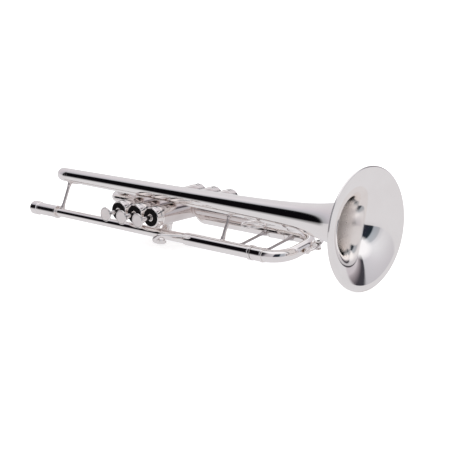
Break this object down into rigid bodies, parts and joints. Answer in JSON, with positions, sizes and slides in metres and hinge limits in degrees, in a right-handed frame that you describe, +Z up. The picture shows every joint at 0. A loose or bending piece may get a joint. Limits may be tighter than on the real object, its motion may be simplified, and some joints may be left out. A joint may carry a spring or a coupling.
{
  "type": "trumpet",
  "caption": "Silver-plated piston trumpet with a flared bell, finger buttons, tuning slides, hook, ring and water key, lying on its side.",
  "frame": {"origin": "centre of the bottom of the bounding box, on the table it lies on", "axes": "+X along the bell tube towards the bell's rim, -Y towards the finger buttons, +Z up, with the instrument lying on its right-hand side"},
  "size_m": [0.4792, 0.1602, 0.123],
  "materials": {
    "bell": "polished silver plate",
    "bell_bow": "polished silver plate",
    "bottom_cap_1": "polished silver plate",
    "bottom_cap_2": "polished silver plate",
    "bottom_cap_3": "polished silver plate",
    "button_pearl_1": "polished pearl inlay",
    "button_pearl_2": "polished pearl inlay",
    "button_pearl_3": "polished pearl inlay",
    "finger_button_1": "polished silver plate",
    "finger_button_2": "polished silver plate",
    "finger_button_3": "polished silver plate",
    "finger_hook": "polished silver plate",
    "finger_ring": "polished silver plate",
    "first_slide_crook": "polished silver plate",
    "first_slide_sleeves": "polished silver plate",
    "front_brace": "polished silver plate",
    "knuckle_1_to_2": "polished silver plate",
    "knuckle_2_to_3": "polished silver plate",
    "leadpipe": "polished silver plate",
    "lower_slide_sleeve": "polished silver plate",
    "main_slide_bow": "polished silver plate",
    "mouthpiece_receiver": "polished silver plate",
    "piston_1": "lapped nickel plate",
    "piston_2": "lapped nickel plate",
    "piston_3": "lapped nickel plate",
    "pull_knob": "polished silver plate",
    "rear_brace": "polished silver plate",
    "second_slide_crook": "polished silver plate",
    "second_slide_sleeve_lower": "polished silver plate",
    "second_slide_sleeve_upper": "polished silver plate",
    "sleeve_brace": "polished silver plate",
    "slide_brace": "polished silver plate",
    "stop_rod_guide": "polished silver plate",
    "third_slide_crook": "polished silver plate",
    "third_slide_sleeves": "polished silver plate",
    "third_stop_rod": "polished silver plate",
    "thumb_saddle": "polished silver plate",
    "top_cap_1": "polished silver plate",
    "top_cap_2": "polished silver plate",
    "top_cap_3": "polished silver plate",
    "top_felt_1": "black felt",
    "top_felt_2": "black felt",
    "top_felt_3": "black felt",
    "upper_slide_sleeve": "polished silver plate",
    "valve_casing_1": "polished silver plate",
    "valve_casing_2": "polished silver plate",
    "valve_casing_3": "polished silver plate",
    "valve_spring_1": "drawn spring wire",
    "valve_spring_2": "drawn spring wire",
    "valve_spring_3": "drawn spring wire",
    "valve_stem_1": "polished silver plate",
    "valve_stem_2": "polished silver plate",
    "valve_stem_3": "polished silver plate",
    "water_key_cork": "cork",
    "water_key_lever": "polished silver plate",
    "water_key_nipple": "polished silver plate",
    "water_key_saddle": "polished silver plate",
    "water_key_screw": "drawn spring wire",
    "water_key_spring": "drawn spring wire"
  },
  "bodies": {
    "body": {"bell": "bell", "bell_bow": "bell_bow", "mouthpiece_receiver": "mouthpiece_receiver", "leadpipe": "leadpipe", "upper_slide_sleeve": "upper_slide_sleeve", "lower_slide_sleeve": "lower_slide_sleeve", "valve_casing_1": "valve_casing_1", "top_cap_1": "top_cap_1", "top_felt_1": "top_felt_1", "bottom_cap_1": "bottom_cap_1", "valve_spring_1": "valve_spring_1", "valve_casing_2": "valve_casing_2", "top_cap_2": "top_cap_2", "top_felt_2": "top_felt_2", "bottom_cap_2": "bottom_cap_2", "valve_spring_2": "valve_spring_2", "valve_casing_3": "valve_casing_3", "top_cap_3": "top_cap_3", "top_felt_3": "top_felt_3", "bottom_cap_3": "bottom_cap_3", "valve_spring_3": "valve_spring_3", "knuckle_1_to_2": "knuckle_1_to_2", "knuckle_2_to_3": "knuckle_2_to_3", "first_slide_sleeves": "first_slide_sleeves", "second_slide_sleeve_upper": "second_slide_sleeve_upper", "second_slide_sleeve_lower": "second_slide_sleeve_lower", "third_slide_sleeves": "third_slide_sleeves", "rear_brace": "rear_brace", "front_brace": "front_brace", "sleeve_brace": "sleeve_brace", "finger_hook": "finger_hook", "stop_rod_guide": "stop_rod_guide"},
    "valve_1": {"piston_1": "piston_1", "valve_stem_1": "valve_stem_1", "finger_button_1": "finger_button_1", "button_pearl_1": "button_pearl_1"},
    "valve_2": {"piston_2": "piston_2", "valve_stem_2": "valve_stem_2", "finger_button_2": "finger_button_2", "button_pearl_2": "button_pearl_2"},
    "valve_3": {"piston_3": "piston_3", "valve_stem_3": "valve_stem_3", "finger_button_3": "finger_button_3", "button_pearl_3": "button_pearl_3"},
    "main_slide": {"main_slide_bow": "main_slide_bow", "slide_brace": "slide_brace", "water_key_nipple": "water_key_nipple", "water_key_saddle": "water_key_saddle", "water_key_screw": "water_key_screw", "water_key_spring": "water_key_spring"},
    "water_key": {"water_key_lever": "water_key_lever", "water_key_cork": "water_key_cork"},
    "first_slide": {"first_slide_crook": "first_slide_crook", "thumb_saddle": "thumb_saddle"},
    "second_slide": {"second_slide_crook": "second_slide_crook", "pull_knob": "pull_knob"},
    "third_slide": {"third_slide_crook": "third_slide_crook", "finger_ring": "finger_ring", "third_stop_rod": "third_stop_rod"}
  },
  "joints": [
    {"name": "valve_1_press", "type": "slide", "parent": "body", "child": "valve_1", "axis": [0, 1, 0], "range_m": [0, 0.0155], "stiffness_N_per_m": 90, "springref_m": -0.025, "deforming": ["valve_spring_1"]},
    {"name": "valve_2_press", "type": "slide", "parent": "body", "child": "valve_2", "axis": [0, 1, 0], "range_m": [0, 0.0155], "stiffness_N_per_m": 90, "springref_m": -0.025, "deforming": ["valve_spring_2"]},
    {"name": "valve_3_press", "type": "slide", "parent": "body", "child": "valve_3", "axis": [0, 1, 0], "range_m": [0, 0.0155], "stiffness_N_per_m": 90, "springref_m": -0.025, "deforming": ["valve_spring_3"]},
    {"name": "main_slide_pull", "type": "slide", "parent": "body", "child": "main_slide", "axis": [1, 0, 0], "range_m": [0, 0.05]},
    {"name": "first_slide_pull", "type": "slide", "parent": "body", "child": "first_slide", "axis": [-1, 0, 0], "range_m": [0, 0.018]},
    {"name": "second_slide_pull", "type": "slide", "parent": "body", "child": "second_slide", "axis": [0, 0, -1], "range_m": [0, 0.0055]},
    {"name": "third_slide_pull", "type": "slide", "parent": "body", "child": "third_slide", "axis": [1, 0, 0], "range_m": [0, 0.0295]},
    {"name": "water_key_hinge", "type": "hinge", "parent": "main_slide", "child": "water_key", "pos_m": [0.15549, 0.01194, 0.02675], "axis": [0, -0.1519, 0.9884], "range_deg": [0, 12], "stiffness_Nm_per_rad": 0.05, "springref_deg": -34.38}
  ]
}
